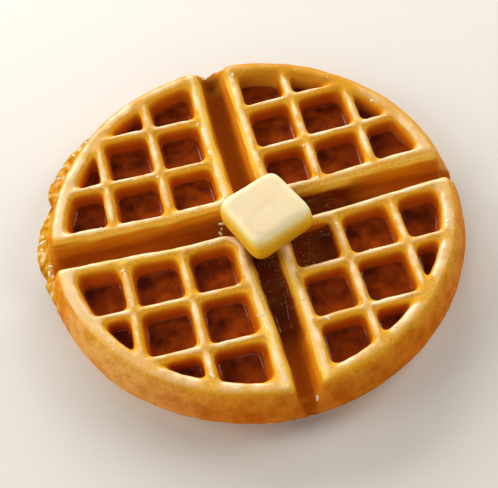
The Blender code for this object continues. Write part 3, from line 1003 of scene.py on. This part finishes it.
# %% [markdown]
# Froth is syrup full of air. Each bubble scatters the light that syrup lets through, so
# froth is lighter and duller than the syrup round it: browner, and with hardly a glint.

# %% Froth: material
FROTH_COLOURS = ((0.35, "#643610"), (0.65, "#8c5722"))
froth, shader, place = new_material("syrup_froth")
airy = node(
    froth, "ShaderNodeTexNoise", {"Vector": place, "Scale": 1 / (1.5 * MM), "Detail": 2.0}
)
finish = {
    "Base Color": node(
        froth, "ShaderNodeValToRGB", {"Fac": airy}, "Color", stops=FROTH_COLOURS
    ),
    "Roughness": 0.5,
    "Specular IOR Level": 0.15,
}
fill(froth, shader, finish)
print("froth:", froth.name)

# %% [markdown]
# Small drops could be scattered by a particle system, but then they couldn't be put where
# the photograph has them. So one flat bead is modelled and copied to each spot, turned
# to the skin under it, which a ray from above finds. Each copy has its own heading and
# length, and all of them are joined into one piece.

# %% Helpers: beads
DOWN = Vector((0, 0, -1))
BEAD_SHAPE = (1.0, 1.0, 0.65)
BEAD_WIDTH, BEAD_FLATNESS = 1.0, 0.7


def skin_of(*pieces):
    """The faces of some pieces as one skin, for rays to hit."""
    corners, faces = [], []
    for piece in pieces:
        start = len(corners)
        corners += [v.co for v in piece.data.vertices]
        faces += [tuple(start + i for i in f.vertices) for f in piece.data.polygons]
    return BVHTree.FromPolygons(corners, faces)


def spread(name, material, slot, skin, spots, rounds, longest):
    """One piece of beads, each given as x, y from the grid's middle and radius, in mm."""
    bpy.ops.object.select_all(action="DESELECT")
    bpy.ops.mesh.primitive_ico_sphere_add(subdivisions=rounds, radius=1.0)
    first = bpy.context.object
    bpy.ops.object.mode_set(mode="EDIT")
    bpy.ops.transform.resize(value=BEAD_SHAPE)
    bpy.ops.object.mode_set(mode="OBJECT")
    copies = []
    heading = np.random.default_rng(len(spots))
    for x, y, size in spots:
        above = GRID_MIDDLE + Vector((x * MM, y * MM, 2 * THICKNESS))
        hit, normal, _, _ = skin.ray_cast(above, DOWN)
        if hit is None:
            continue
        copy = first.copy()
        copy.data = first.data.copy()
        turn = normal.to_track_quat("Z", "Y").to_matrix().to_4x4()
        turn = turn @ Matrix.Rotation(heading.uniform(0, math.pi), 4, "Z")
        length = heading.uniform(1.0, longest)
        stretch = Matrix.Diagonal((length, BEAD_WIDTH, BEAD_FLATNESS, 1.0))
        copy.matrix_world = Matrix.Translation(hit) @ turn @ stretch @ Matrix.Scale(size * MM, 4)
        bpy.context.scene.collection.objects.link(copy)
        copies.append(copy)
    bpy.data.objects.remove(first)
    select_only(copies[0])
    for copy in copies:
        copy.select_set(True)
    bpy.ops.object.join()
    bpy.ops.object.transform_apply(location=True, rotation=True, scale=True)
    piece = bpy.context.object
    piece.name = name
    piece.data.materials.clear()
    piece.data.materials.append(material)
    bpy.ops.object.shade_smooth()
    hand_over(piece, slot)
    print(name, len(copies))


# %% [markdown]
# Beads of melted butter stand on the rib crowns and on the run-out batter, and their pale
# colour is a painted glint. The ones that show as bright glints are listed by place.
# Seventy finer ones are drawn by chance from the highest points of the crowns, where
# butter was brushed past.

# %% Beads of butter
CROWN_BEADS = (
    (32.4, 10.9), (-12.3, 9.9), (3.6, -87.0), (-41.9, 14.2), (-58.3, -28.1), (76.3, -29.3),
    (76.6, -27.2), (-33.4, -70.9), (-13.8, -32.3), (-8.4, -53.9), (-9.4, -48.3), (-8.0, -49.3),
    (9.3, -46.6), (31.1, -57.1), (49.2, -63.4), (40.3, -70.3), (16.3, -58.3), (-8.9, -19.5),
    (-9.8, 38.0), (-34.9, 31.6), (-58.7, 36.6), (10.8, 78.4), (67.6, 43.8), (-58.6, -12.8),
    (31.5, 30.1), (-11.4, 55.5), (-13.5, 2.5), (-14.5, 0.5), (-12.8, 4.2), (14.6, -62.4),
    (-2.6, 86.4), (-1.2, 87.6),
)
RUN_OUT_BEADS = (
    (-70.0, 63.5), (-66.8, 66.0), (-63.5, 69.5), (-86.2, 31.9), (-85.0, 36.5), (-89.8, 21.2),
    (-90.6, 18.8), (-91.5, 15.1), (-90.8, 12.0), (-88.7, 4.0), (-89.9, 1.4), (-78.6, 52.0),
)
BEAD_SIZES, FINE_SIZES = (0.45, 0.8), (0.2, 0.38)
FINE_BEADS = 70
chance = np.random.default_rng(11)
spots = [(*spot, chance.uniform(*BEAD_SIZES)) for spot in CROWN_BEADS + RUN_OUT_BEADS]
on_crown = np.flatnonzero((stands_out > 0.3 * MM) & (under_crown < 0.5 * MM) & on_top)
for i in chance.choice(on_crown, FINE_BEADS, replace=False):
    spots.append((east[i] / MM, north[i] / MM, chance.uniform(*FINE_SIZES)))
spread("painted_glint_beads", glint_bead_material, "soft_butter", skin_of(crust), spots, 2, 2.8)

# %% [markdown]
# Syrup that fell from the butter took air in, and its froth lies on the film near the
# middle, in patches. Bubbles are half a millimetre, so round beads with few faces do.
# Soft noise picks the patches, and chance picks the bubbles in them.

# %% Froth on the syrup
BUBBLES = 420
BUBBLE_SIZES = (0.25, 0.65)
FROTH_RADIUS = 52 * MM
patches = lumps(points_of(crust), 5 * MM, 12.0) > 0.1
frothy = np.flatnonzero((wet > 0.85) & patches & (np.hypot(east, north) < FROTH_RADIUS))
spots = [
    (east[i] / MM, north[i] / MM, chance.uniform(*BUBBLE_SIZES))
    for i in chance.choice(frothy, BUBBLES, replace=False)
]
syrup_skin = skin_of(film, pools[POURED_INTO])
spread("syrup_bubbles", froth, "maple_syrup", syrup_skin, spots, 1, 1.2)

# %% [markdown]
# ## Floor and light
#
# The waffle lies on a plain pale painted board. Its colour matters as much as its shape:
# it lights the waffle's lower side from below. Nothing is printed or worn on it, so one
# plane with a matt finish is enough.

# %% Floor
bpy.ops.object.select_all(action="DESELECT")
bpy.ops.mesh.primitive_plane_add(size=6.0, location=(0, 0, 0))
floor = bpy.context.object
floor.name = "floor"
board, shader, _ = new_material("pale_painted_board")
fill(board, shader, {"Base Color": "#dedbd5", "Roughness": 0.7})
floor.data.materials.append(board)
print("floor:", round(floor.dimensions.x, 1), "m wide")

# %% [markdown]
# The light is that of a room with windows. A long one behind the waffle glances off the
# rib tops without showing in the syrup, smaller ones on the left and the right light the
# walls that face them, and a fill in front opens the shadows. Area lights as large as
# windows give the same soft shadow edges, and the world adds the weak light of the room.

# %% Lights
LOOKED_AT = Vector((0, 0, 0.01))
ROOM_LIGHT = 0.09
WINDOWS = (
    ("back_window", (-0.15, 0.80, 0.46), (1.3, 0.36), 10.4, "#fffdfa"),
    ("left_window", (-0.72, 0.12, 0.50), (0.5, 0.5), 3.1, "#fffaf2"),
    ("right_window", (0.72, 0.12, 0.56), (0.5, 0.5), 3.9, "#fffaf2"),
    ("front_fill", (-0.35, -0.75, 0.55), (0.7, 0.7), 3.2, "#fffaf2"),
)
for name, place, size, watts, colour in WINDOWS:
    turn = (Vector(place) - LOOKED_AT).to_track_quat("Z", "Y").to_euler()
    bpy.ops.object.light_add(type="AREA", location=place, rotation=turn)
    lamp = bpy.context.object
    lamp.name = name
    lamp.data.shape = "RECTANGLE"
    lamp.data.size, lamp.data.size_y = size
    lamp.data.energy = watts
    lamp.data.color = linear(colour)[:3]
world = bpy.data.worlds.new("studio")
bpy.context.scene.world = world
world.use_nodes = True
background = world.node_tree.nodes["Background"]
fill(world, background, {"Color": "#f6f1ea", "Strength": ROOM_LIGHT})
bpy.context.scene.view_settings.view_transform = "Standard"
print("lights:", [name for name, *_ in WINDOWS])
